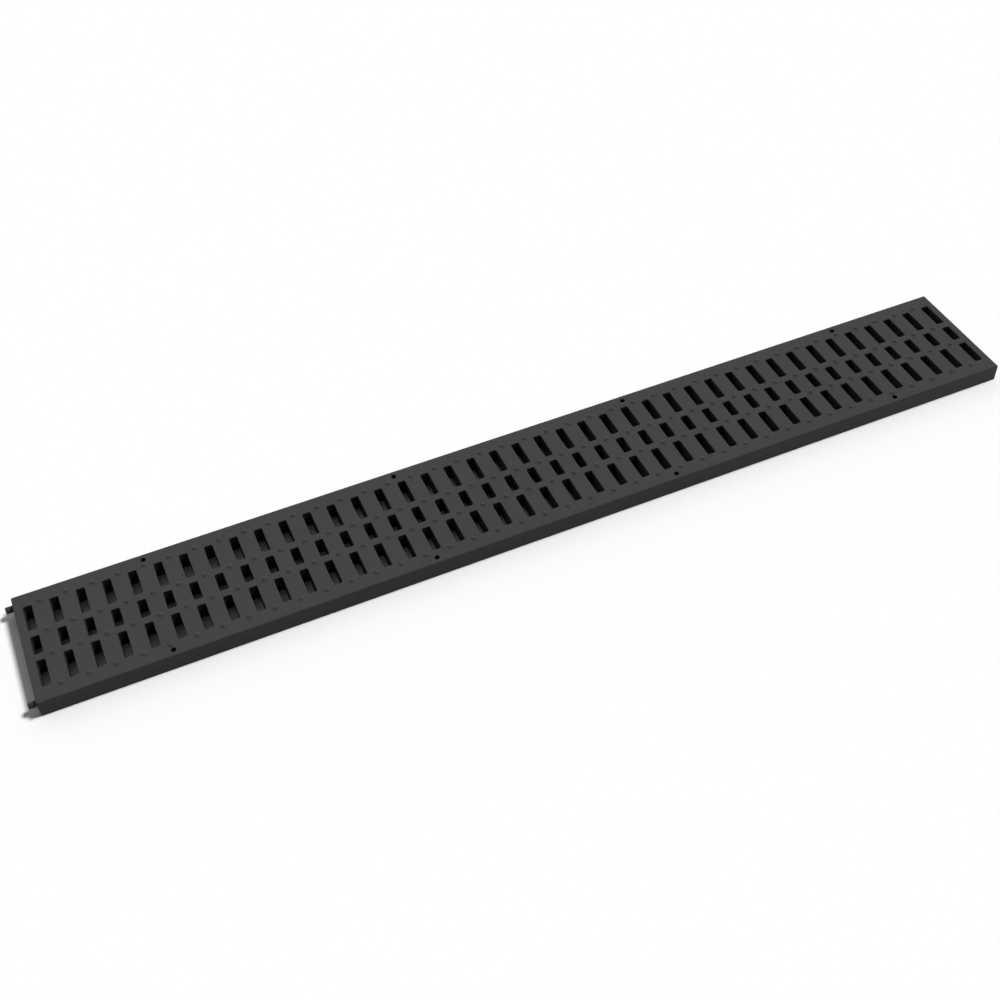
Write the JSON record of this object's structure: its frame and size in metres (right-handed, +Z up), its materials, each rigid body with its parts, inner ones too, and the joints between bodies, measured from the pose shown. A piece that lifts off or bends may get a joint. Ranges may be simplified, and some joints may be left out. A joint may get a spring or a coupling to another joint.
{
  "type": "channel drain grate",
  "caption": "Slotted moulded plastic grate that covers a linear drainage channel, with locating pegs on one end and screw holes along both sides.",
  "frame": {"origin": "centre of the bounding box, pegs included, on the plane of the underside rim", "axes": "+X along the length, away from the end with the pegs; +Y across to the far side; +Z up through the walking face"},
  "size_m": [1.0076, 0.13, 0.018],
  "materials": {
    "grate_plastic": "fine moulded grain"
  },
  "bodies": {
    "root": {"grate": "grate_plastic"}
  },
  "joints": []
}
